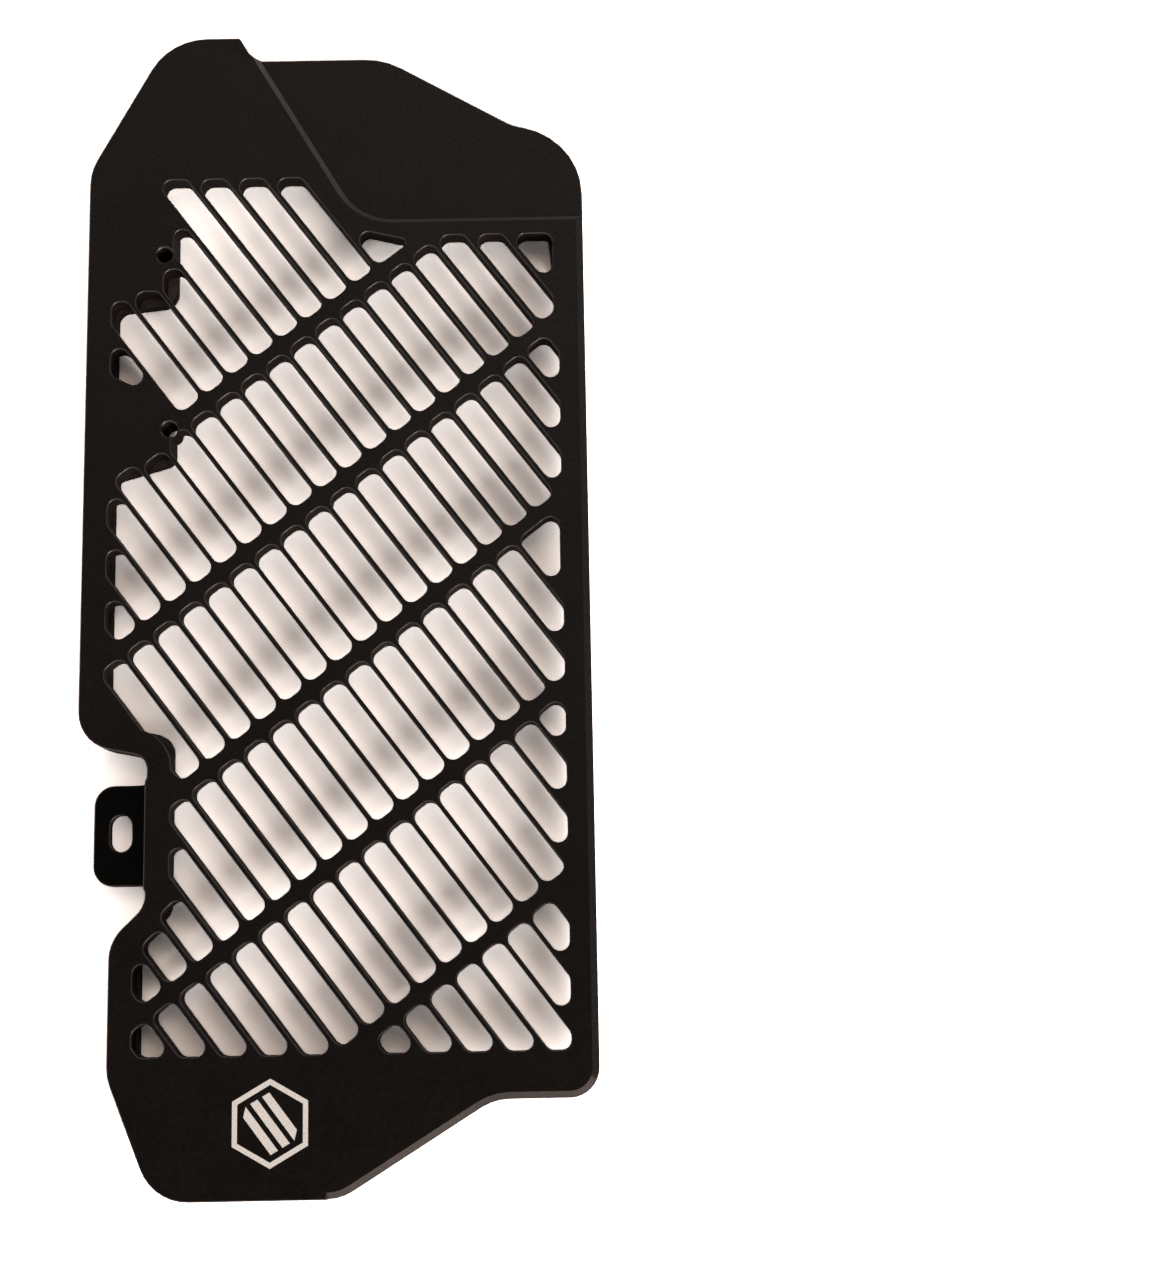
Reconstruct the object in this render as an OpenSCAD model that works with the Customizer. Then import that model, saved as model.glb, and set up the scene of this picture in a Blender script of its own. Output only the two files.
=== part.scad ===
// Motorcycle radiator guard, left hand as seen from the front: one plate machined from black billet
// aluminium. It lies on its back with its front face up. X runs across the guard towards the centre of
// the bike, Y runs up the radiator and Z points forward, away from the fins. The origin is at the centre
// of the guard's length and width, on the surface that it lies on.

/* [Plate] */
// Width from the outer edge to the inner edge
guard_w = 133; // [132:0.5:136]
// Length from the bottom edge to the top edge
guard_h = 308.8; // [308:0.2:312]
// Thickness of the slotted plate
plate_t = 6; // [4.5:0.5:8]
// Height of the rear rail and pads behind the plate
rail_h = 3.5; // [2:0.5:6]
// Width of the rear rail along the outer edge
rail_w = 6.8; // [5:0.2:8]
// Depth of the bevel along the inner and lower edges
bevel = 1.8; // [0.8:0.1:2]

/* [Slots] */
// Distance between neighbouring slots, across the slats
slot_pitch = 8.25; // [8:0.05:9]
// Thickness of a slat
slat_t = 1.23; // [0.8:0.05:2]
// Slope of the slats below the horizontal
slat_angle = 53; // [51:0.5:55]
// Distance between neighbouring cross bars
bar_pitch = 39.45; // [38:0.05:42]
// Width of a cross bar
bar_w = 3.65; // [2.5:0.05:6]
// Slope of the cross bars above the horizontal
bar_angle = 37.3; // [36:0.1:39]
// Radius that the cutter leaves in the corners of the slots
cutter_r = 2.4; // [1:0.1:2.6]
// Solid border between the slots and the outer edge
border = 6.5; // [6:0.1:8]
// Solid border between the slots and the inner edge
inner_border = 7; // [6:0.1:9]

/* [Upper wing] */
// Depth of the step from the front face down to the wing
wing_step = 1.5; // [0.8:0.1:3]
// Length of the wing from its upper edge down to the step
wing_h = 47.8; // [43:0.2:51]
// Radius of the bend in the step
wing_r = 17; // [8:0.5:22]

/* [Side tab] */
// Reach of the tab from the body's edge
tab_w = 14; // [12:0.5:17]
// Length of the tab along the body's edge
tab_h = 25.9; // [20:0.1:27]
// Distance of the tab's top below the middle of the guard
tab_drop = 50; // [48:0.1:51]
// Depth of the tab's face below the front face
tab_step = 3; // [1:0.5:3]
// Radius of the tab's outer corners
tab_r = 5.2; // [2:0.1:6]
// Width of the bolt slot in the tab
tab_slot_w = 5.7; // [4.5:0.1:6.5]
// Length of the bolt slot in the tab
tab_slot_l = 9.4; // [8:0.1:12]

/* [Screw holes] */
// Bore of the threaded holes
screw_bore = 4.2; // [3.3:0.1:4.4]
// Depth of the countersink at the mouth of a threaded hole
screw_sink = 0.4; // [0:0.1:0.8]
// Height of the upper screw hole above the middle of the guard
screw_top = 92.5; // [92:0.1:93]
// Distance between the two screw holes
screw_gap = 48.4; // [48:0.1:49]
// Distance of the upper screw hole from the outer edge
upper_screw_in = 20.5; // [20:0.1:21]
// Distance of the lower screw hole from the outer edge
lower_screw_in = 22.5; // [22:0.1:23]

/* [Hidden] */

// Steps in a quarter turn of a rounded corner, of the outline and of a slot
corner_steps = 8;
slot_steps = 4;
// Sides of a drilled or bored circle
bore_sides = 48;
over = 1;
coat = [0.06, 0.06, 0.06];
front = rail_h + plate_t;
right = guard_w / 2;
left = -right;
top = guard_h / 2;
bottom = -top;

// Slopes of the outline's slanted edges
crown_slope = 60.9;
step_slope = 59.5;
wing_slope = 29.7;
brow_slope = 12;
notch_slope = 11.9;
hip_slope = 43.6;
heel_slope = 68.5;
keel_slope = 31.5;

// Straight edges and corners of the outline
foot_y = bottom + 23.6;
ankle_y = bottom + 30.8;
wing_y = top - 6.1;
shoulder_y = top - 30;
lobe_y = -tab_drop + 10.9;
hip_y = -tab_drop - tab_h - 5.3;
neck = left + 18;
hip = left + 9;
tab_left = neck - tab_w;
tab_top = -tab_drop;
tab_bottom = tab_top - tab_h;
notch_r = 4.1;
notch_mid = [neck - notch_r, tab_top + notch_r];
tab_root = 2.2;

// Point on a line through p that rises at an angle, at a given y or a given x
function at_y(p, angle, y) = [p[0] + (y - p[1]) / tan(angle), y];
function at_x(p, angle, x) = [x, p[1] + (x - p[0]) * tan(angle)];

// Crossing of two such lines
function crossing(p, a, q, b) =
    at_x(p, a, (q[1] - p[1] + p[0] * tan(a) - q[0] * tan(b)) / (tan(a) - tan(b)));

// Turn of a path at b, positive to the left
function turn(a, b, c) = let (u = b - a, v = c - b)
    atan2(u[0] * v[1] - u[1] * v[0], u[0] * v[0] + u[1] * v[1]);

// Arc that rounds the corner b of a path, to either side
function arc(a, b, c, r) =
    let (t = turn(a, b, c), side = t < 0 ? -1 : 1, u = (b - a) / norm(b - a), n = [-u[1], u[0]],
         mid = b - u * r * tan(abs(t) / 2) + side * r * n, first = atan2(-side * n[1], -side * n[0]),
         steps = max(2, ceil(abs(t) / 90 * corner_steps)))
    [for (k = [0 : steps]) mid + r * [cos(first + t * k / steps), sin(first + t * k / steps)]];

// Closed outline through corners that are each [point, radius]
function rounded(c) = let (m = len(c))
    [for (i = [0 : m - 1]) let (a = c[(i + m - 1) % m][0], b = c[i][0], d = c[(i + 1) % m][0])
        each (c[i][1] > 0 ? arc(a, b, d, c[i][1]) : [b])];

// Places that a path of such corners leaves out at its two ends, where it only sets the direction
function bent(c) = [for (i = [1 : len(c) - 2]) each arc(c[i - 1][0], c[i][0], c[i + 1][0], c[i][1])];

// Corners of the body, anticlockwise from its lower inner corner
peak = [-26.4, top];
nape = at_y(peak, -step_slope, wing_y);
brow = [12.9, wing_y];
shoulder = [right, shoulder_y];
crown = [-45.5, top];
keel = [1.4, bottom];
ankle = [hip, ankle_y];
hip_top = [neck, hip_y];
lobe = [left, lobe_y];

lower_corners = [
    [at_y(ankle, -heel_slope, bottom), 13], [keel, 12], [at_y(keel, keel_slope, foot_y), 14],
    [[right, foot_y], 7.5], [shoulder, 19.6]];
upper_corners = [
    [crossing(brow, -wing_slope, shoulder, -brow_slope), 12], [brow, 20], [nape, 4], [peak, 0.8],
    [crown, 17], [at_x(crown, crown_slope, left), 15], [lobe, 10], [at_x(lobe, -notch_slope, neck), notch_r]];
side_corners = [
    [[neck, tab_top], tab_root], [[tab_left, tab_top], tab_r], [[tab_left, tab_bottom], tab_r],
    [[neck, tab_bottom], tab_root], [hip_top, 7], [at_x(hip_top, hip_slope, hip), 11], [ankle, 13]];

module outline() { polygon(rounded(concat(lower_corners, upper_corners, side_corners))); }

// Half-planes are [normal, reach]; a convex shape is what all of them leave of a large square
sheet = [[-300, -300], [300, -300], [300, 300], [-300, 300]];
function reach(p, h) = h[1] - p * h[0];
function edge_point(a, b, h) = a + (b - a) * reach(a, h) / (reach(a, h) - reach(b, h));
function clip(p, h) = let (m = len(p))
    [for (i = [0 : m - 1])
        let (a = p[i], b = p[(i + 1) % m], from_in = reach(a, h) >= 0, to_in = reach(b, h) >= 0)
        each concat(from_in != to_in ? [edge_point(a, b, h)] : [], to_in ? [b] : [])];
function clip_all(p, hs, k = 0) = k == len(hs) || len(p) < 3 ? p : clip_all(clip(p, hs[k]), hs, k + 1);
function without_doubles(p) = let (m = len(p))
    [for (i = [0 : m - 1]) if (norm(p[i] - p[(i + 1) % m]) > 0.02) p[i]];

// Outline that a round cutter leaves inside such a convex shape
function milled(hs, r) =
    let (path = without_doubles(clip_all(sheet, [for (h = hs) [h[0], h[1] - r]])), m = len(path))
    m < 3 ? [] :
    [for (i = [0 : m - 1])
        let (a = path[(i + m - 1) % m], b = path[i], t = turn(a, b, path[(i + 1) % m]),
             first = atan2(a[0] - b[0], b[1] - a[1]), steps = max(1, ceil(t / 90 * slot_steps)))
        for (k = [0 : steps]) b + r * [cos(first + t * k / steps), sin(first + t * k / steps)]];

slot_w = slot_pitch - slat_t;
slot_l = bar_pitch - bar_w;
across = [sin(slat_angle), cos(slat_angle)];
along = [sin(bar_angle), -cos(bar_angle)];
// Middle of slot 0, and upper end of row 0, measured along those two directions
slot_start = -8.56;
row_start = -99.37;

// Edges of the slotted field
step_y = wing_y - wing_h;
field_right = right - inner_border;
field_left = left + border;
foot_border = 11.8;
crown_border = 40.7;
step_border = 3.75;
field_bottom = foot_y + foot_border;
field_top = top - crown_border;
field_step = step_y - step_border;
// The same beside the pads of the screw holes, the neck and the hip
pad_w = 22.85;
low_border = 6.1;
pad_x = left + pad_w;
field_neck = neck + low_border;
field_hip = hip + low_border;
field = [[[1, 0], field_right], [[0, -1], -field_bottom], [[0, 1], field_top], [[-1, 0], -field_left]];
function left_limit(x) = [[-1, 0], -x];
function right_limit(x) = [[1, 0], x];
function top_limit(y) = [[0, 1], y];
function start_limit(v) = [-along, -v];
hip_normal = [-sin(hip_slope), cos(hip_slope)];

// Left and upper limits of slots 0 to 4 of the top row, which step round the upper pad
pad_limits = [
    [field_left, -25.6], [field_left, -12.9], [left + 13, -10.2], [left + 20.3, -4.1], [pad_x, 7.9]];
// Slanted ends of the first and the last slot of the top row, and the small radius of the last one's tip
corner_limit = [[-0.453, -0.892], -25.8];
leaf_limit = [[0.233, 0.972], step_y - 3.05];
leaf_r = 1.3;
// How much later the slot beside the lower pad starts, and how much sooner some slots end at the inner edge
pad_delay = 1.7;
wing_inset = 1.3;
brace_inset = 0.7;
// Borders of slots -9 to -11 along the hip
hip_borders = [4.2, 6.75, 5.5];

function own_limits(i, row) =
    row == 0 ? concat(i < 5 ? [left_limit(pad_limits[i][0]), top_limit(screw_top + pad_limits[i][1])] : [],
        i == 0 ? [corner_limit] : i == 9 ? [leaf_limit] : [])
    : row == 1 ? (i == -1 ? [start_limit(row_start + bar_pitch + pad_delay)]
        : i == 0 ? [left_limit(pad_x)]
        : i > 9 ? [top_limit(field_step), right_limit(field_right - wing_inset)] : [])
    : row == 3 ? (i < -8 ? [left_limit(field_hip), [hip_normal, hip_top * hip_normal - hip_borders[-9 - i]]]
        : i == 7 ? [right_limit(field_right - brace_inset)] : [left_limit(field_neck)])
    : row == 4 ? [left_limit(field_hip)] : [];

// Slots that run on to the border, where one more slat would leave a sliver
function is_wide(i, row) = (row == 0 && i == 9) || (row == 1 && i == 13) || (row == 3 && i == 7);

// Outline of a slot, or of its tip alone where trim takes its near side away
function slot_outline(i, row, r = cutter_r, trim = 0) =
    let (u = slot_start + i * slot_pitch, v = row_start + row * bar_pitch,
         far = u + slot_w / 2 + (is_wide(i, row) ? slot_pitch : 0),
         start = row == 0 ? v - bar_pitch : v)
    milled(concat([[across, far], [-across, slot_w / 2 - trim - u], [along, v + slot_l], start_limit(start)],
        field, own_limits(i, row)), r);

// First and last slot of each row
rows = [[0, 9], [-5, 13], [-6, 11], [-11, 7], [-12, 4], [-6, 0]];
// Solid width that the notch above the tab keeps round itself
notch_border = 6.2;

module slots() {
    difference() {
        union() {
            for (row = [0 : len(rows) - 1], i = [rows[row][0] : rows[row][1]]) {
                points = slot_outline(i, row);
                if (len(points) > 2) polygon(points);
            }
            polygon(slot_outline(9, 0, leaf_r, slot_w / 2));
        }
        translate(notch_mid) circle(r = notch_r + notch_border, $fn = bore_sides);
    }
}

// Rear rail along the outer and lower edges, with a pad behind each screw hole
rail_x = left + rail_w;
rail_hip = hip + rail_w;
rail_foot = bottom + rail_w;
rail_neck = neck + 5.5;
beyond = 5;
rail_bend = 5;
pad_r = 4.4;
pad_foot = 3.1;
// Reach of each pad above its hole, and below it beside the slots and beside the rail
upper_pad = [12, 11.9, 13.6];
lower_pad = [5.4, 7.7, 12.3];
low_screw_y = screw_top - screw_gap;
rail_ankle = [rail_hip, ankle_y + 1.5];
rail_hip_top = [rail_neck, hip_y - 1.5];
rail_notch = [rail_neck, lobe_y + 1.8];
rail_temple = [rail_x, field_top];

rail_corners = [
    [[left - beyond, bottom - beyond], 0], [[keel[0], bottom - beyond], 0], [[keel[0], rail_foot], 3],
    [at_y(rail_ankle, -heel_slope, rail_foot), rail_bend], [rail_ankle, rail_bend],
    [at_x(rail_hip_top, hip_slope, rail_hip), rail_bend], [rail_hip_top, rail_bend], [rail_notch, rail_bend],
    [at_x(rail_notch, -notch_slope, rail_x), 4], [[rail_x, low_screw_y - lower_pad[2]], pad_foot],
    [[pad_x, low_screw_y - lower_pad[1]], pad_foot], [[pad_x, low_screw_y + lower_pad[0]], pad_foot],
    [[rail_x, low_screw_y + lower_pad[0]], pad_foot], [[rail_x, screw_top - upper_pad[2]], pad_foot],
    [[pad_x, screw_top - upper_pad[1]], pad_r], [[pad_x, screw_top + upper_pad[0]], pad_r],
    [[rail_x, screw_top + upper_pad[0]], pad_r], [rail_temple, rail_bend],
    [at_y(rail_temple, crown_slope, top + beyond), 0], [[left - beyond, top + beyond], 0]];

// Rear pad behind the upper part of the inner edge: its height, and its width at its foot and at its top
inner_pad_h = 44;
inner_pad_w = [8.4, 12.4];
inner_pad_y = step_y - 14.5;
inner_pad = [
    [[right - inner_pad_w[0], inner_pad_y], 3], [[right + beyond, inner_pad_y], 0],
    [[right + beyond, inner_pad_y + inner_pad_h], 0],
    [[right - inner_pad_w[1], inner_pad_y + inner_pad_h], 0]];

// The tab stands free of the rail, which stops just short of the neck's edge behind it
rail_back = 0.3;
gap_below = 4;
gap_above = 2.8;

module rail_outline() {
    difference() {
        intersection() {
            outline();
            union() {
                polygon(rounded(rail_corners));
                polygon(rounded(inner_pad));
            }
        }
        translate([left, tab_bottom - gap_below])
            square([neck + rail_back - left, tab_h + gap_below + gap_above]);
    }
}

// Path moved to its right by d, with its corners mitred
function side_of(p) = let (u = p / norm(p)) [u[1], -u[0]];
function moved(path, d) = let (m = len(path))
    [for (i = [0 : m - 1])
        let (a = side_of(path[max(i, 1)] - path[max(i, 1) - 1]),
             b = side_of(path[min(i, m - 2) + 1] - path[min(i, m - 2)]))
        path[i] + d * (a + b) / (1 + a * b)];

// Sloping cut along a path: at 45 degrees from the path down to a depth on its right
module slope_cut(path, depth) {
    m = len(path);
    far = depth + over;
    rings = [[-over, front + over], [depth, front - depth], [far, front - depth], [far, front + over]];
    points = [for (s = rings) for (p = moved(path, s[0])) [p[0], p[1], s[1]]];
    sides = [for (s = [0 : 3], i = [0 : m - 2])
        let (t = (s + 1) % 4) [s * m + i, t * m + i, t * m + i + 1, s * m + i + 1]];
    polyhedron(points, concat(sides, [[3 * m, 2 * m, m, 0], [m - 1, 2 * m - 1, 3 * m - 1, 4 * m - 1]]));
}

// Front edge of the step down to the wing, from past the inner edge to above the peak
step_clear = 0.2;
step_start = [right + beyond, step_y];
step_end = at_y(peak + [step_clear, 0], -step_slope, top + beyond);
step_bend = at_y(step_end, -step_slope, step_y);
step_path = concat([step_start], arc(step_start, step_bend, step_end, wing_r), [step_end]);

module wing_floor() {
    translate([0, 0, front - wing_step]) linear_extrude(wing_step + over)
        polygon(concat([[right + beyond + over, top + 2 * beyond], step_end + [0, beyond]],
            moved([for (i = [len(step_path) - 1 : -1 : 0]) step_path[i]], -wing_step - over / 2)));
}

// Bevel of the inner and lower edges, from the heel round to the step
bevel_path = moved(concat(bent(lower_corners), [[right, step_y + 4]]), -bevel);

// Width of the tab's root that keeps the body's height
tab_lip = 0.5;

module tab_cut() {
    translate([tab_left - over, tab_bottom - over, front - tab_step])
        cube([tab_w + over - tab_lip, tab_h + 2 * over + tab_lip, tab_step + over]);
}

// Height of the bolt slot above the middle of the tab
tab_slot_rise = 0.6;

module bolt_slot() {
    reach = (tab_slot_l - tab_slot_w) / 2;
    translate([(tab_left + neck) / 2, (tab_top + tab_bottom) / 2 + tab_slot_rise, rail_h - over]) {
        for (side = [-1, 1])
            translate([0, side * reach, 0]) cylinder(d = tab_slot_w, h = plate_t + over, $fn = bore_sides);
        translate([-tab_slot_w / 2, -reach, 0]) cube([tab_slot_w, 2 * reach, plate_t + over]);
    }
}

screws = [[left + upper_screw_in, screw_top], [left + lower_screw_in, low_screw_y]];

module screw_hole() {
    translate([0, 0, -over]) cylinder(d = screw_bore, h = front + 2 * over, $fn = bore_sides);
    translate([0, 0, front - screw_sink])
        cylinder(d1 = screw_bore, d2 = screw_bore + 2 * (screw_sink + over), h = screw_sink + over,
            $fn = bore_sides);
}

module radiator_guard() {
    color(coat) difference() {
        union() {
            translate([0, 0, rail_h]) linear_extrude(plate_t) difference() {
                outline();
                slots();
            }
            linear_extrude(rail_h) rail_outline();
        }
        slope_cut(step_path, wing_step);
        wing_floor();
        slope_cut(bevel_path, bevel);
        tab_cut();
        bolt_slot();
        for (p = screws) translate(p) screw_hole();
    }
}

radiator_guard();
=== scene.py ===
"""Looks of a slotted motorcycle radiator guard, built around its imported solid.

The guard lies on its back on a pale floor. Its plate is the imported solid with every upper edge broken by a
small chamfer, as the cutter leaves it. The screw holes get their thread turns, and the place near the foot
of the guard gets a plain etched emblem. Lengths are in metres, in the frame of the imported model.
"""

import logging
import math
from dataclasses import dataclass, field
from enum import Enum
from typing import Optional, Sequence

import bpy
import numpy as np
from mathutils import Matrix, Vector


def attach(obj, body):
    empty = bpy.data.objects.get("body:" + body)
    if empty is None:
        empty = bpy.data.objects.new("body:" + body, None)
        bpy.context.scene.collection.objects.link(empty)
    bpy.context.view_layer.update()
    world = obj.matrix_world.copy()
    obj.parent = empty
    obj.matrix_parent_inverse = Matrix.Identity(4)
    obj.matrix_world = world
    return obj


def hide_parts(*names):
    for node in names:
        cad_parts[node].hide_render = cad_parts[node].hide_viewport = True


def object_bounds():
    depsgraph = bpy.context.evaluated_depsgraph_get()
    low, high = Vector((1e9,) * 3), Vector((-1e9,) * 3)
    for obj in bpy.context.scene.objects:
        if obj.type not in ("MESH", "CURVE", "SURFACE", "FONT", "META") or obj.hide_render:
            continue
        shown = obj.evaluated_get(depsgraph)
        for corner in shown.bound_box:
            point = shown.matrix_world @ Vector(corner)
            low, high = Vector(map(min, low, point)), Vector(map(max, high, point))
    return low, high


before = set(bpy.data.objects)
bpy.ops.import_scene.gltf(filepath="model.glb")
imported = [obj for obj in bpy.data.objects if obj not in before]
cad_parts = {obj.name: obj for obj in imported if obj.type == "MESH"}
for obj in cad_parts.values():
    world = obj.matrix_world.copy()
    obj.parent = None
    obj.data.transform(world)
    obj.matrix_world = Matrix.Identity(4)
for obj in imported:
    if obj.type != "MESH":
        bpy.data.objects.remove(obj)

CAD_BOX = [list(corner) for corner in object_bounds()]
MM = 0.001
TOP = CAD_BOX[1][2]
NODE = "radiator_guard"
BODY = "root"
# Least length that a vector is divided by
TINY = 1e-12

log = logging.getLogger("radiator_guard")


class Finish(Enum):
    """Finishes of the plate's faces, by their place in its list of materials. Beside the full coat, each is
    a lit or shaded copy of the coat that paints shade, light or highlight on its faces.
    """

    COAT = 0
    WALL = 1
    EDGE = 2
    RECESS = 3
    THIN = 4


class Level(Enum):
    """Flat faces of the guard that look up at the camera, by their depth below the highest one."""

    FRONT = 0.0
    WING = 1.5 * MM
    TAB = 3.0 * MM


# Materials


class NodeTree:
    """Node tree of a material or of the world, with short calls to add and join nodes."""

    def __init__(self, owner: bpy.types.ID, output: str = "OutputMaterial") -> None:
        """Starts an empty tree that holds only its output node.

        Args:
            owner: The material or the world that the tree belongs to.
            output: Type of the output node, without the prefix ShaderNode.
        """
        owner.use_nodes = True
        self.owner = owner
        self.tree = owner.node_tree
        self.tree.nodes.clear()
        self.output = self.add(output)

    def add(self, kind: str, **values: object) -> bpy.types.Node:
        """Adds a node and sets its properties and its sockets.

        Args:
            kind: The node's type, without the prefix ShaderNode.
            values: Node properties, or sockets by name with underscores for spaces.

        Returns:
            The new node.
        """
        node = self.tree.nodes.new("ShaderNode" + kind)
        for key, value in values.items():
            socket = node.inputs.get(key.replace("_", " "))
            if socket is None:
                setattr(node, key, value)
            else:
                socket.default_value = value
        return node

    def join(self, source: bpy.types.NodeSocket, target: bpy.types.NodeSocket) -> None:
        """Joins an output socket to an input socket."""
        self.tree.links.new(source, target)

    def noise(self, size: float, detail: float, roughness: float) -> bpy.types.NodeSocket:
        """Adds a noise on the piece's own coordinates.

        Args:
            size: Length of the noise's coarsest waves.
            detail: How many finer waves are added.
            roughness: Strength of each finer wave, as a share of the one before.

        Returns:
            The socket of the noise's value.
        """
        place = self.add("TexCoord")
        noise = self.add("TexNoise", Scale=1.0 / size, Detail=detail, Roughness=roughness)
        self.join(place.outputs["Object"], noise.inputs["Vector"])
        return noise.outputs["Fac"]

    def ramp(self, driver: bpy.types.NodeSocket, reach: Sequence[float], low: tuple,
             high: tuple) -> bpy.types.NodeSocket:
        """Adds a colour ramp with two stops.

        Args:
            driver: Socket of the value that the colour follows.
            reach: Values at which the first and the last colour stand.
            low: The first colour.
            high: The last colour.

        Returns:
            The socket of the ramp's colour.
        """
        ramp = self.add("ValToRGB")
        for stop, position, colour in zip(ramp.color_ramp.elements, reach, (low, high)):
            stop.position = position
            stop.color = colour
        self.join(driver, ramp.inputs["Fac"])
        return ramp.outputs["Color"]

    def spread(self, driver: bpy.types.NodeSocket, reach: Sequence[float], ends: Sequence[float],
               way: str = "LINEAR") -> bpy.types.NodeSocket:
        """Adds a map of one range of values to another.

        Args:
            driver: Socket of the value that is mapped.
            reach: Values at which the result starts and ends.
            ends: The result's first and last value.
            way: The map's interpolation, by its name in Blender.

        Returns:
            The socket of the result.
        """
        spread = self.add("MapRange", From_Min=reach[0], From_Max=reach[1], To_Min=ends[0], To_Max=ends[1])
        spread.interpolation_type = way
        self.join(driver, spread.inputs["Value"])
        return spread.outputs["Result"]

    def shown(self, unseen: bpy.types.Node, seen: bpy.types.Node) -> bpy.types.Node:
        """Adds a mix that shows one shader to the camera and another to every other ray.

        Args:
            unseen: Shader for the light.
            seen: Shader for the camera.

        Returns:
            The mix.
        """
        path = self.add("LightPath")
        mix = self.add("MixShader")
        self.join(path.outputs["Is Camera Ray"], mix.inputs["Fac"])
        self.join(unseen.outputs[0], mix.inputs[1])
        self.join(seen.outputs[0], mix.inputs[2])
        return mix

    def finish(self, surface: bpy.types.Node) -> bpy.types.ID:
        """Joins the last shader to the output and returns the tree's owner."""
        self.join(surface.outputs[0], self.output.inputs["Surface"])
        return self.owner


@dataclass(frozen=True)
class SatinBlack:
    """Black coat on machined aluminium: near black, satin, with a fine grain and faint uneven patches."""

    name: str
    dark: tuple
    light: tuple
    roughness: tuple
    specular: float
    # Size, detail and roughness of the noises
    patch: tuple = (14.0 * MM, 3.0, 0.6)
    grain: tuple = (0.90 * MM, 2.0, 0.55)
    # Values of each noise that bring out its extremes
    patch_reach: tuple = (0.35, 0.70)
    grain_reach: tuple = (0.35, 0.65)
    grain_depth: float = 0.120 * MM

    def build(self) -> bpy.types.Material:
        """Makes the material: the patches vary its colour, and the grain is bump and varies its roughness.

        Returns:
            The finished material.
        """
        nodes = NodeTree(bpy.data.materials.new(self.name))
        patches = nodes.noise(*self.patch)
        grain = nodes.noise(*self.grain)
        bump = nodes.add("Bump", Strength=1.0, Distance=self.grain_depth)
        nodes.join(grain, bump.inputs["Height"])
        coat = nodes.add("BsdfPrincipled", Specular_IOR_Level=self.specular)
        nodes.join(nodes.ramp(patches, self.patch_reach, self.dark, self.light), coat.inputs["Base Color"])
        nodes.join(nodes.spread(grain, self.grain_reach, self.roughness), coat.inputs["Roughness"])
        nodes.join(bump.outputs["Normal"], coat.inputs["Normal"])
        return nodes.finish(coat)


# Lit and shaded copies of the coat, one for each kind of face: the copies for the walls and the tab paint
# shade, the copy for the step's slants and the rail and pads paints light, and the copy for the edges is
# partly a worn cut edge and partly a painted highlight
COATS: dict[Finish, SatinBlack] = {
    Finish.COAT: SatinBlack(
        "satin_black", dark=(0.0021, 0.0014, 0.0010, 1.0), light=(0.0038, 0.0026, 0.0019, 1.0),
        roughness=(0.34, 0.46), specular=0.20),
    # Painted shade: a dull copy of the coat, kept dark for the walls of the slots and the bores and for the
    # thread turns
    Finish.WALL: SatinBlack(
        "wall_shade_black", dark=(0.0044, 0.0030, 0.0023, 1.0), light=(0.0072, 0.0048, 0.0037, 1.0),
        roughness=(0.42, 0.52), specular=0.06),
    # Partly a worn cut edge and partly a painted highlight: a lighter, glossier copy of the coat for the
    # chamfers and the foot's bevel
    Finish.EDGE: SatinBlack(
        "edge_wear_and_highlight", dark=(0.0120, 0.0082, 0.0066, 1.0), light=(0.0300, 0.0205, 0.0165, 1.0),
        roughness=(0.26, 0.34), specular=0.42),
    # Painted shade: a near-black, dull copy of the coat for the tab, darker than the full coat as shade in
    # its recess
    Finish.RECESS: SatinBlack(
        "recess_shade_black", dark=(0.0008, 0.0008, 0.0007, 1.0), light=(0.0016, 0.0015, 0.0013, 1.0),
        roughness=(0.42, 0.52), specular=0.05),
    # Painted light: a greyer copy of the coat that brightens the step's slanted faces and the rail and pads
    # below the slots
    Finish.THIN: SatinBlack(
        "painted_light_black", dark=(0.031, 0.023, 0.019, 1.0), light=(0.042, 0.031, 0.026, 1.0),
        roughness=(0.30, 0.38), specular=0.24),
}


@dataclass(frozen=True)
class EtchedMetal:
    """Pale etched aluminium of the emblem, slightly speckled where the coat is left in the grain."""

    pale: tuple = (0.76, 0.71, 0.67, 1.0)
    dull: tuple = (0.50, 0.47, 0.44, 1.0)
    # Size, detail and roughness of the noise, and its values that bring out the dull and the pale grey
    speckle: tuple = (0.25 * MM, 3.0, 0.5)
    reach: tuple = (0.38, 0.58)
    roughness: float = 0.55

    def build(self) -> bpy.types.Material:
        """Makes the material: a fine noise mixes a pale and a duller grey.

        Returns:
            The finished material.
        """
        nodes = NodeTree(bpy.data.materials.new("etched_metal"))
        metal = nodes.add("BsdfPrincipled", Roughness=self.roughness)
        grey = nodes.ramp(nodes.noise(*self.speckle), self.reach, self.dull, self.pale)
        nodes.join(grey, metal.inputs["Base Color"])
        return nodes.finish(metal)


@dataclass(frozen=True)
class PaleFloor:
    """Pale matt floor that shows white to the camera and keeps the guard's shadow."""

    seen: tuple = (3.24, 3.12, 3.08, 1.0)
    lit: tuple = (0.80, 0.76, 0.74, 1.0)

    def build(self) -> bpy.types.Material:
        """Makes the material: one matt colour for the light and a brighter one for the camera.

        Returns:
            The finished material.
        """
        nodes = NodeTree(bpy.data.materials.new("pale_floor"))
        plain = nodes.add("BsdfDiffuse", Color=self.lit)
        bright = nodes.add("BsdfDiffuse", Color=self.seen)
        return nodes.finish(nodes.shown(plain, bright))


# Meshes


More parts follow.
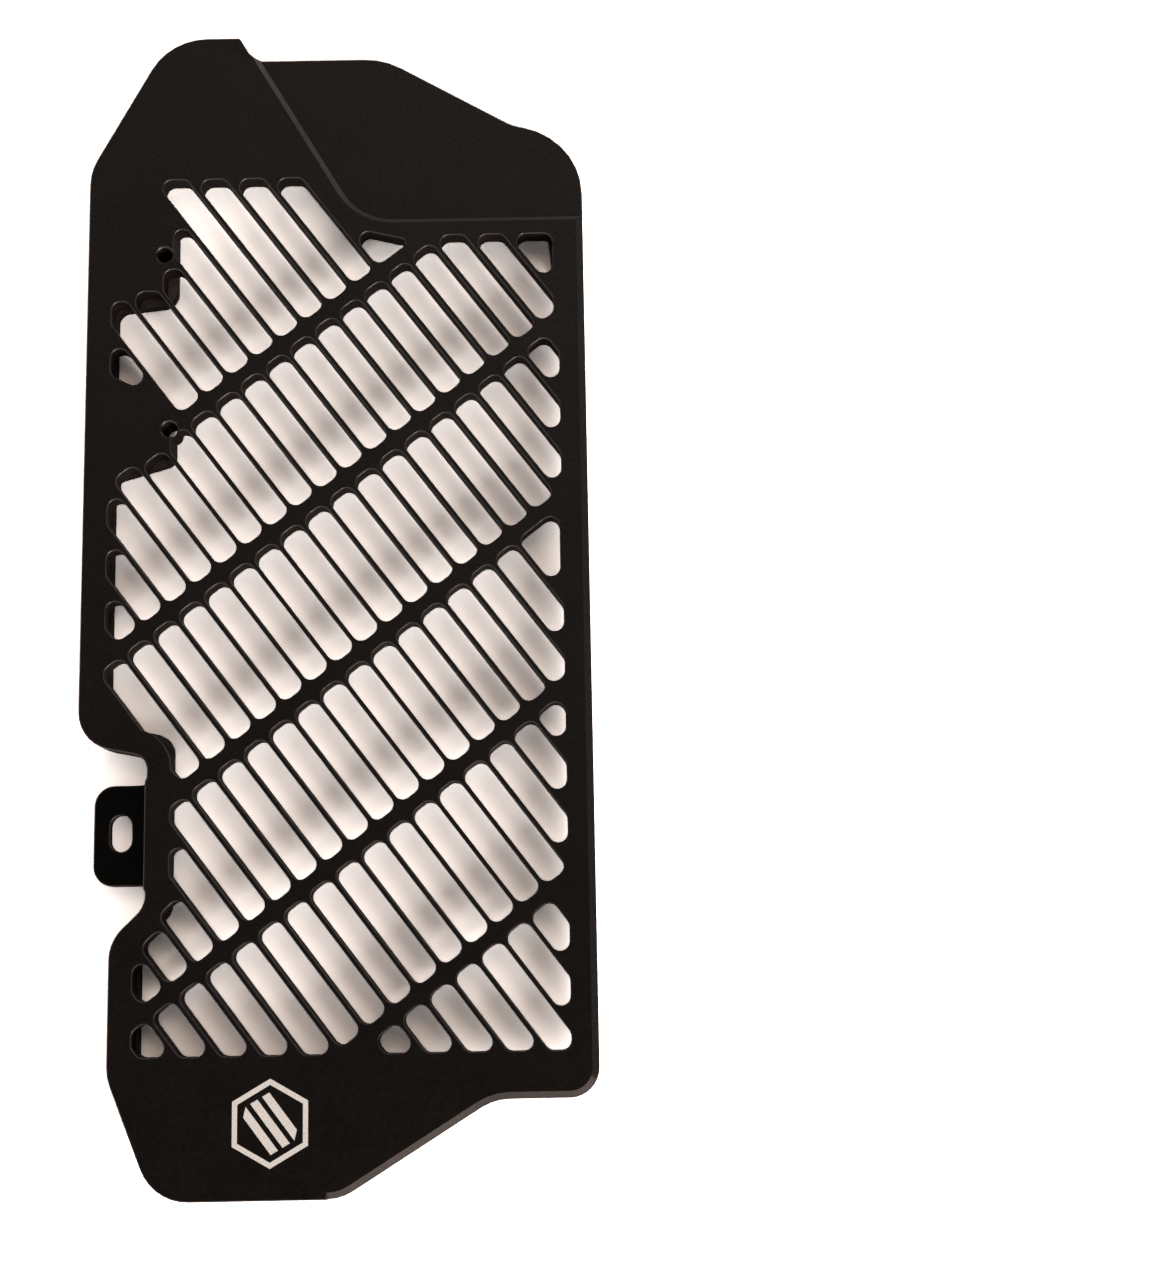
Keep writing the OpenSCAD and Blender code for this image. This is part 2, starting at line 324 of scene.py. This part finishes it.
def to_mesh(name: str, points: np.ndarray, faces: Sequence[Sequence[int]], smooth_deg: float = 30.0,
            finishes: Optional[np.ndarray] = None) -> bpy.types.Object:
    """Makes an object from points and faces, smooth up to an angle between faces.

    Args:
        name: Name of the object and its mesh.
        points: Places of the vertices, one row each.
        faces: Vertex numbers of each face, anticlockwise from outside.
        smooth_deg: Edges that turn more than this many degrees stay sharp.
        finishes: Number of each face's material, where it has more than one.

    Returns:
        The new object, linked to the scene.
    """
    mesh = bpy.data.meshes.new(name)
    mesh.from_pydata(points.tolist(), [], [list(face) for face in faces])
    if finishes is not None:
        mesh.polygons.foreach_set("material_index", finishes.astype(np.int32))
    mesh.validate()
    mesh.polygons.foreach_set("use_smooth", [True] * len(mesh.polygons))
    mesh.set_sharp_from_angle(angle=math.radians(smooth_deg))
    mesh.update()
    piece = bpy.data.objects.new(name, mesh)
    bpy.context.scene.collection.objects.link(piece)
    return piece


def carry(piece: bpy.types.Object, *materials: bpy.types.Material) -> bpy.types.Object:
    """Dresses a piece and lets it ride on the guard.

    Args:
        piece: The piece's object.
        materials: Its materials, in the order of their numbers.

    Returns:
        The same object.
    """
    for material in materials:
        piece.data.materials.append(material)
    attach(piece, BODY)
    return piece


def face_normals(points: np.ndarray, triangles: np.ndarray) -> np.ndarray:
    """Works out the unit normal of each triangle, as the cross product of two of its sides.

    Args:
        points: Places of the vertices.
        triangles: Vertex numbers of each triangle.

    Returns:
        One normal a row.
    """
    corners = points[triangles]
    normals = np.cross(corners[:, 1] - corners[:, 0], corners[:, 2] - corners[:, 0])
    return normals / np.maximum(np.linalg.norm(normals, axis=1, keepdims=True), TINY ** 2)


@dataclass
class GuardPlate:
    """The guard itself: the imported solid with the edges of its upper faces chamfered."""

    outer_chamfer: float = 0.30 * MM
    slot_chamfer: float = 0.22 * MM
    # Points in one cell of this size are merged
    weld: float = 0.002 * MM
    # A face lies at a height if its corners are this near to it
    near: float = 0.01 * MM
    # A hole smaller than this is a screw hole, whose mouth is left to its thread
    screw_area: float = 30.0 * MM * MM
    # Rises of a face's normal: below the first the face stands upright, below the second it is a wall,
    # above the third it looks up, and above the fourth it is flat
    upright: float = 0.05
    steep: float = 0.3
    upward: float = 0.5
    level: float = 0.9
    # A slanted face whose normal points further than this towards the inner edge belongs to its bevel
    inner: float = 0.66
    # Flat faces below the first height are the tab's, which get painted shade, and those below the second
    # the rail's and the pads', which get painted light
    recess: float = 7.0 * MM
    behind: float = 5.0 * MM
    smooth_deg: float = 35.0
    longest_mitre: float = 1.6

    def solid(self) -> tuple[np.ndarray, np.ndarray]:
        """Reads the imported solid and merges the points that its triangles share.

        Returns:
            The points and the triangles.
        """
        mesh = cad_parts[NODE].data
        mesh.calc_loop_triangles()
        points = np.empty(len(mesh.vertices) * 3)
        mesh.vertices.foreach_get("co", points)
        triangles = np.empty(len(mesh.loop_triangles) * 3, np.int64)
        mesh.loop_triangles.foreach_get("vertices", triangles)
        cell = np.round(points.reshape(-1, 3) / self.weld).astype(np.int64)
        _, first, number = np.unique(cell, axis=0, return_index=True, return_inverse=True)
        triangles = number.reshape(-1)[triangles].reshape(-1, 3)
        whole = (np.diff(np.sort(triangles, 1), axis=1) > 0).all(1)
        return points.reshape(-1, 3)[first], triangles[whole]

    def rims(self, points: np.ndarray, triangles: np.ndarray, height: float) -> tuple[np.ndarray, ...]:
        """Finds the edges of the upward faces at a height.

        An edge belongs to the rim where its reverse is not an edge of those faces. It is upright where the
        face beyond it stands upright.

        Args:
            points: Places of the vertices.
            triangles: Vertex numbers of each triangle.
            height: Height of the faces.

        Returns:
            Which triangles form the faces, and the start, end and uprightness of each rim edge.
        """
        normals = face_normals(points, triangles)
        at_height = (np.abs(points[triangles][:, :, 2] - height) < self.near).all(1)
        flat = at_height & (normals[:, 2] > self.upward)
        count = len(points)
        starts = triangles.reshape(-1)
        ends = np.roll(triangles, -1, 1).reshape(-1)
        owner = np.repeat(np.arange(len(triangles)), 3)
        here = flat[owner]
        rim = here & ~np.isin(starts * count + ends, (ends * count + starts)[here])
        outside = ~here
        order = np.argsort((ends * count + starts)[outside])
        keys = (ends * count + starts)[outside][order]
        spot = np.clip(np.searchsorted(keys, (starts * count + ends)[rim]), 0, len(keys) - 1)
        beyond = normals[owner[outside][order][spot]]
        return flat, starts[rim], ends[rim], np.abs(beyond[:, 2]) < self.upright

    def loop_areas(self, points: np.ndarray, starts: np.ndarray, ends: np.ndarray) -> np.ndarray:
        """Works out the area inside the rim that each vertex lies on, by doubling steps along the rims.

        Args:
            points: Places of the vertices.
            starts: First vertex of each rim edge.
            ends: Last vertex of each rim edge.

        Returns:
            One area a vertex: positive on an outer rim, negative on the rim of a hole, 0 elsewhere.
        """
        after = np.arange(len(points))
        after[starts] = ends
        label = np.arange(len(points))
        for _ in range(int(math.log2(len(points))) + 1):
            label = np.minimum(label, label[after])
            after = after[after]
        a, b = points[starts], points[ends]
        parts = (a[:, 0] * b[:, 1] - b[:, 0] * a[:, 1]) / 2.0
        sums = np.zeros(len(points))
        np.add.at(sums, label[starts], parts)
        areas = np.zeros(len(points))
        areas[starts] = sums[label[starts]]
        return areas

    def chamfer(self, points: np.ndarray, triangles: np.ndarray,
                height: float) -> tuple[np.ndarray, np.ndarray]:
        """Cuts a chamfer along the upright rims of the faces at a height.

        Each rim point sinks by the chamfer, and a new point takes its place in the face, moved inwards along
        the mitre of its two edges. The mitre is the sum of the edges' inward unit normals, times 2 and
        divided by the square of its length. A strip of faces joins the sunk points to the new ones.

        Args:
            points: Places of the vertices.
            triangles: Vertex numbers of each triangle.
            height: Height of the faces.

        Returns:
            The new points and triangles.
        """
        flat, starts, ends, upright = self.rims(points, triangles, height)
        areas = self.loop_areas(points, starts, ends)
        way = points[ends, :2] - points[starts, :2]
        way /= np.maximum(np.linalg.norm(way, axis=1, keepdims=True), TINY)
        inward = np.stack([-way[:, 1], way[:, 0]], 1)
        total = np.zeros((len(points), 2))
        edges_at = np.zeros(len(points))
        upright_at = np.zeros(len(points))
        for tips in (starts, ends):
            np.add.at(total, tips, inward)
            np.add.at(edges_at, tips, 1)
            np.add.at(upright_at, tips, upright)
        size = np.where(areas > 0, self.outer_chamfer, self.slot_chamfer)
        moved = (edges_at == 2) & (upright_at == 2) & ~((areas < 0) & (areas > -self.screw_area))
        length = np.maximum((total ** 2).sum(1), TINY)
        mitre = total * (2.0 / length)[:, None]
        reach = np.linalg.norm(mitre, axis=1)
        mitre *= (np.minimum(reach, self.longest_mitre) / np.maximum(reach, TINY))[:, None]
        twins = np.arange(len(points))
        twins[moved] = len(points) + np.arange(moved.sum())
        tops = points[moved].copy()
        tops[:, :2] += mitre[moved] * size[moved, None]
        points = points.copy()
        points[moved, 2] -= size[moved]
        triangles = triangles.copy()
        triangles[flat] = twins[triangles[flat]]
        first = np.stack([starts, ends, twins[ends]], 1)
        second = np.stack([starts, twins[ends], twins[starts]], 1)
        strip = np.concatenate([first, second])
        strip = strip[(strip != np.roll(strip, -1, 1)).all(1)]
        return np.concatenate([points, tops]), np.concatenate([triangles, strip])

    def finishes(self, points: np.ndarray, triangles: np.ndarray, before: int) -> np.ndarray:
        """Names the finish of each face.

        Steep faces are walls and get painted shade, and the tab, which looks up from below the recess
        height, lies in a recess and gets painted shade. The slanted faces of the step and the rail and pads
        below the slots get painted light. The foot's bevel and the chamfers' strips are edges, partly worn
        and partly painted highlight. The rest has the full coat, as does the inner edge's bevel.

        Args:
            points: Places of the vertices.
            triangles: Vertex numbers of each triangle.
            before: Count of the triangles that are older than the chamfers.

        Returns:
            The number of each triangle's finish.
        """
        normals = face_normals(points, triangles)
        height = points[triangles][:, :, 2].mean(1)
        lean = normals[:, 2]
        finish = np.full(len(triangles), Finish.COAT.value)
        slanted = (lean > self.steep) & (lean < self.level) & (normals[:, 0] < self.inner)
        # The step's slants get painted light, and the foot's bevel the edges' partly painted highlight
        finish[slanted] = np.where(normals[slanted, 1] < 0, Finish.EDGE.value, Finish.THIN.value)
        # The tab, in its recess, gets painted shade
        finish[(lean > self.level) & (height < self.recess)] = Finish.RECESS.value
        # The rail and pads get painted light
        finish[(lean > self.level) & (height < self.behind)] = Finish.THIN.value
        # Steep faces get the walls' painted shade
        finish[np.abs(lean) < self.steep] = Finish.WALL.value
        # Chamfer strips get the edges' copy, partly wear and partly painted highlight
        finish[before:] = Finish.EDGE.value
        return finish

    def build(self) -> bpy.types.Object:
        """Builds the chamfered guard.

        Returns:
            The guard's object.
        """
        points, triangles = self.solid()
        before = len(triangles)
        for level in Level:
            points, triangles = self.chamfer(points, triangles, TOP - level.value)
        finishes = self.finishes(points, triangles, before)
        return to_mesh("guard_plate", points, triangles, self.smooth_deg, finishes)


@dataclass
class ThreadTurns:
    """Turns of an M5 thread, standing proud inside a screw hole's bore."""

    name: str
    middle: tuple
    # The turns start this high above the rear face and end this far below the front face
    low: float = 0.2 * MM
    below: float = 0.3 * MM
    bore: float = 2.1 * MM
    proud: float = 0.33 * MM
    sunk: float = 0.05 * MM
    pitch: float = 0.8 * MM
    # Half the profile's width at the bore, as a share of the pitch
    flank: float = 0.42
    # Points around one turn
    steps: int = 40

    def build(self) -> bpy.types.Object:
        """Sweeps a pointed profile along a helix.

        The helix turns once for each pitch of rise. The profile is a triangle: two corners are sunk in the
        bore's wall and the third is the crest, which stands proud towards the axis. It runs out to nothing
        over the first and the last turn.

        Returns:
            The thread's object.
        """
        turns = (TOP - self.below - self.low) / self.pitch - 1.0
        count = int(turns * self.steps) + 1
        turn = np.linspace(0.0, turns, count)
        angle = 2.0 * math.pi * turn
        fade = np.clip(np.minimum(turn, turns - turn), 0.0, 1.0)
        wall = np.full(count, self.bore + self.sunk)
        crest = self.bore + self.sunk - (self.proud + self.sunk) * fade
        rise = self.low + (turn + 0.5) * self.pitch
        half = self.flank * self.pitch
        rings = []
        for radius, lift in ((wall, -half), (crest, 0.0), (wall, half)):
            x = self.middle[0] + radius * np.cos(angle)
            y = self.middle[1] + radius * np.sin(angle)
            rings.append(np.stack([x, y, rise + lift], 1))
        run = np.arange(count - 1)
        quads = []
        for lower, upper in ((0, 1), (1, 2), (2, 0)):
            a, b = lower * count + run, upper * count + run
            quads += np.stack([a, b, b + 1, a + 1], 1).tolist()
        ends = [(0, 2 * count, count), (count - 1, 2 * count - 1, 3 * count - 1)]
        return to_mesh(self.name, np.concatenate(rings), quads + ends)


@dataclass
class EtchedEmblem:
    """Plain etched emblem: a hexagon's outline with slanted bars inside it, a hair above the coat."""

    middle: tuple = (-16.2 * MM, -135.6 * MM)
    radius: float = 11.0 * MM
    line: float = 1.3 * MM
    gap: float = 1.5 * MM
    sides: int = 6
    bars: int = 3
    bar_width: float = 2.08 * MM
    bar_step: float = 3.38 * MM
    slant_deg: float = 53.0
    lift: float = 0.03 * MM

    def rays(self, start: float) -> np.ndarray:
        """Works out unit vectors, as many as the outline has sides, evenly spread over a turn.

        Args:
            start: Angle of the first one, as a share of the angle between two.

        Returns:
            One vector a row, anticlockwise.
        """
        angle = (np.arange(self.sides) + start) * 2.0 * math.pi / self.sides
        return np.stack([np.cos(angle), np.sin(angle)], 1)

    def ring(self) -> tuple[np.ndarray, list]:
        """Works out the outline: an outer and an inner ring of corners, joined by a face on each side.

        Returns:
            The points and the faces.
        """
        inner = self.radius - self.line / math.cos(math.pi / self.sides)
        points = np.concatenate([self.rays(0.5) * self.radius, self.rays(0.5) * inner])
        here = np.arange(self.sides)
        after = (here + 1) % self.sides
        return points, np.stack([here, after, after + self.sides, here + self.sides], 1).tolist()

    def bar(self, offset: float) -> np.ndarray:
        """Works out one slanted bar: a strip across the emblem, each corner as far out as the gap allows.

        A corner slides along the bar until it meets the first of the lines that lie inside the outline's
        sides, a gap away from them.

        Args:
            offset: Distance of the bar's middle line from the emblem's middle.

        Returns:
            The four corners of the bar, anticlockwise.
        """
        slant = math.radians(self.slant_deg)
        along = np.array([math.cos(slant), -math.sin(slant)])
        across = np.array([-along[1], along[0]])
        inner = self.radius * math.cos(math.pi / self.sides) - self.line - self.gap
        normals = self.rays(0.0)
        corners = []
        for edge, way in ((-0.5, -1), (-0.5, 1), (0.5, 1), (0.5, -1)):
            start = across * (offset + edge * self.bar_width)
            speed = normals @ (along * way)
            room = inner - normals @ start
            reach = np.min(room[speed > 0] / speed[speed > 0])
            corners.append(start + along * way * reach)
        return np.array(corners)

    def build(self) -> bpy.types.Object:
        """Builds the emblem as one thin flat mesh just above the front face.

        Returns:
            The emblem's object.
        """
        flat, faces = self.ring()
        for number in range(self.bars):
            offset = (number - (self.bars - 1) / 2.0) * self.bar_step
            faces.append([len(flat) + corner for corner in range(4)])
            flat = np.concatenate([flat, self.bar(offset)])
        height = np.full(len(flat), TOP + self.lift)
        return to_mesh("etched_emblem", np.column_stack([flat + np.array(self.middle), height]), faces)


# Studio


def stand(axes: Sequence[np.ndarray], place: Sequence[float]) -> Matrix:
    """Makes the matrix of something that stands at a place.

    Args:
        axes: Directions of its own x, y and z axes.
        place: Where it stands.

    Returns:
        The matrix.
    """
    matrix = np.identity(4)
    matrix[:3, :3] = np.stack(axes, 1)
    matrix[:3, 3] = place
    return Matrix(matrix.tolist())


@dataclass(frozen=True)
class Lamp:
    """Rectangular light with level edges that looks at the middle of the guard."""

    name: str
    rise_deg: float
    size: tuple
    power: float
    # Whether the guard's coat mirrors the light
    mirrored: bool
    way: tuple = (0.605, -0.796)
    away: float = 5.0
    colour: tuple = (1.0, 0.95, 0.91)

    def build(self) -> None:
        """Places the light at its distance, in its direction and at its height above the horizon."""
        rise = math.radians(self.rise_deg)
        flat = np.array(self.way) / np.linalg.norm(self.way)
        back = np.array([flat[0] * math.cos(rise), flat[1] * math.cos(rise), math.sin(rise)])
        side = np.array([-flat[1], flat[0], 0.0])
        data = bpy.data.lights.new(self.name, "AREA")
        data.shape = "RECTANGLE"
        data.size, data.size_y = self.size
        data.energy = self.power
        data.color = self.colour
        light = bpy.data.objects.new(self.name, data)
        light.matrix_world = stand((side, np.cross(back, side), back), back * self.away)
        light.visible_glossy = self.mirrored
        bpy.context.scene.collection.objects.link(light)


@dataclass(frozen=True)
class Sky:
    """Soft grey sky, bright at its rim and dark overhead, that shows white to the camera."""

    strength: float = 1.05
    # Sines of the heights at which the rim's colour ends and the dark one begins, and the two colours
    heights: tuple = (0.30, 0.92)
    rim: tuple = (1.20, 1.14, 1.10, 1.0)
    overhead: tuple = (0.072, 0.066, 0.063, 1.0)
    # Beyond the inner edge the sky fades between two values of the direction's x, to a share of its light
    fade: tuple = (0.80, 0.98)
    fade_to: float = 0.15
    # A warm glow, mirrored by the guard's upper end: its direction, radii in degrees and colour
    glow_way: tuple = (0.10, 0.40, 0.911)
    glow_reach: tuple = (21.0, 6.0)
    glow: tuple = (1.36, 1.10, 0.90)

    def build(self) -> None:
        """Makes the sky's colour: a ramp of the height, times the fade, plus the glow.

        The glow is multiplied by a smooth step of the cosine of the angle from its direction.
        """
        nodes = NodeTree(bpy.data.worlds.new("sky"), "OutputWorld")
        place = nodes.add("TexCoord").outputs["Generated"]
        parts = nodes.add("SeparateXYZ")
        nodes.join(place, parts.inputs[0])
        faded = nodes.add("VectorMath", operation="SCALE")
        nodes.join(nodes.ramp(parts.outputs["Z"], self.heights, self.rim, self.overhead), faded.inputs[0])
        nodes.join(nodes.spread(parts.outputs["X"], self.fade, (1.0, self.fade_to)), faded.inputs["Scale"])
        toward = nodes.add("VectorMath", operation="DOT_PRODUCT")
        toward.inputs[1].default_value = self.glow_way
        nodes.join(place, toward.inputs[0])
        cosines = [math.cos(math.radians(angle)) for angle in self.glow_reach]
        near = nodes.spread(toward.outputs["Value"], cosines, (0.0, 1.0), "SMOOTHSTEP")
        colour = nodes.add("VectorMath", operation="MULTIPLY_ADD")
        colour.inputs[1].default_value = self.glow
        nodes.join(near, colour.inputs[0])
        nodes.join(faded.outputs["Vector"], colour.inputs[2])
        soft = nodes.add("Background", Strength=self.strength)
        nodes.join(colour.outputs["Vector"], soft.inputs["Color"])
        white = nodes.add("Background", Color=(1.0, 1.0, 1.0, 1.0))
        bpy.context.scene.world = nodes.finish(nodes.shown(soft, white))


@dataclass
class Studio:
    """Pale floor, sky, soft lights and the camera that looks down on the guard."""

    image_width: int = 1152
    focal_px: float = 1984.99
    sensor_mm: float = 36.0
    nearest: float = 10.0 * MM
    height: float = 509.2 * MM
    foot: tuple = (60.97 * MM, -99.55 * MM)
    tilt_deg: float = -9.4833
    turn_deg: float = 1.0781
    floor_half: float = 3.0
    sky: Sky = field(default_factory=Sky)
    lamps: tuple = (
        Lamp("key", rise_deg=26.0, size=(2.76, 1.12), power=99.0, mirrored=True),
        Lamp("low_key", rise_deg=12.9, size=(1.36, 0.84), power=300.0, mirrored=False))

    def camera(self) -> None:
        """Places the camera over the guard.

        Its axes are those of a camera that looks straight down, turned by turn_deg about the vertical and
        then tilted about its own horizontal axis.
        """
        turn, tilt = math.radians(self.turn_deg), math.radians(self.tilt_deg)
        down = np.array([[math.cos(turn), -math.sin(turn), 0.0],
                         [-math.sin(turn), -math.cos(turn), 0.0],
                         [0.0, 0.0, -1.0]])
        nod = np.array([[1.0, 0.0, 0.0],
                        [0.0, math.cos(tilt), -math.sin(tilt)],
                        [0.0, math.sin(tilt), math.cos(tilt)]])
        right, lower, ahead = nod @ down
        lens = bpy.data.cameras.new("camera")
        lens.sensor_fit = "HORIZONTAL"
        lens.sensor_width = self.sensor_mm
        lens.lens = self.sensor_mm * self.focal_px / self.image_width
        lens.clip_start = self.nearest
        viewer = bpy.data.objects.new("camera", lens)
        viewer.matrix_world = stand((right, -lower, -ahead), (*self.foot, TOP + self.height))
        bpy.context.scene.collection.objects.link(viewer)
        bpy.context.scene.camera = viewer

    def floor(self) -> None:
        """Lays the floor under the guard."""
        corners = np.array([[-1, -1, 0], [1, -1, 0], [1, 1, 0], [-1, 1, 0]]) * self.floor_half
        slab = to_mesh("floor", corners, [(0, 1, 2, 3)])
        slab.data.materials.append(PaleFloor().build())

    def build(self) -> None:
        """Sets up camera, floor, sky and lights."""
        bpy.context.scene.view_settings.view_transform = "Standard"
        self.camera()
        self.floor()
        self.sky.build()
        for lamp in self.lamps:
            lamp.build()


@dataclass
class Guard:
    """The whole guard: its plate, its thread turns and its emblem."""

    plate: GuardPlate = field(default_factory=GuardPlate)
    upper_thread: ThreadTurns = field(
        default_factory=lambda: ThreadTurns("upper_thread", (-46.0 * MM, 92.5 * MM)))
    lower_thread: ThreadTurns = field(
        default_factory=lambda: ThreadTurns("lower_thread", (-44.0 * MM, 44.1 * MM)))
    emblem: EtchedEmblem = field(default_factory=EtchedEmblem)

    def build(self) -> list[bpy.types.Object]:
        """Builds and dresses every piece of the guard.

        Returns:
            The pieces' objects.
        """
        coats = [COATS[finish].build() for finish in Finish]
        plate = carry(self.plate.build(), *coats)
        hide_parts(NODE)
        # The thread turns take the walls' copy of the coat, with its painted shade
        threads = [carry(thread.build(), coats[Finish.WALL.value])
                   for thread in (self.upper_thread, self.lower_thread)]
        return [plate, *threads, carry(self.emblem.build(), EtchedMetal().build())]


def main() -> None:
    """Builds the studio and the guard, and reports the studio's lights and each piece."""
    logging.basicConfig(level=logging.INFO, format="%(name)s: %(message)s")
    studio = Studio()
    studio.build()
    log.info("studio: camera, floor, sky and %d lights", len(studio.lamps))
    for piece in Guard().build():
        log.info("%s: %d faces", piece.name, len(piece.data.polygons))


if __name__ == "__main__":
    main()
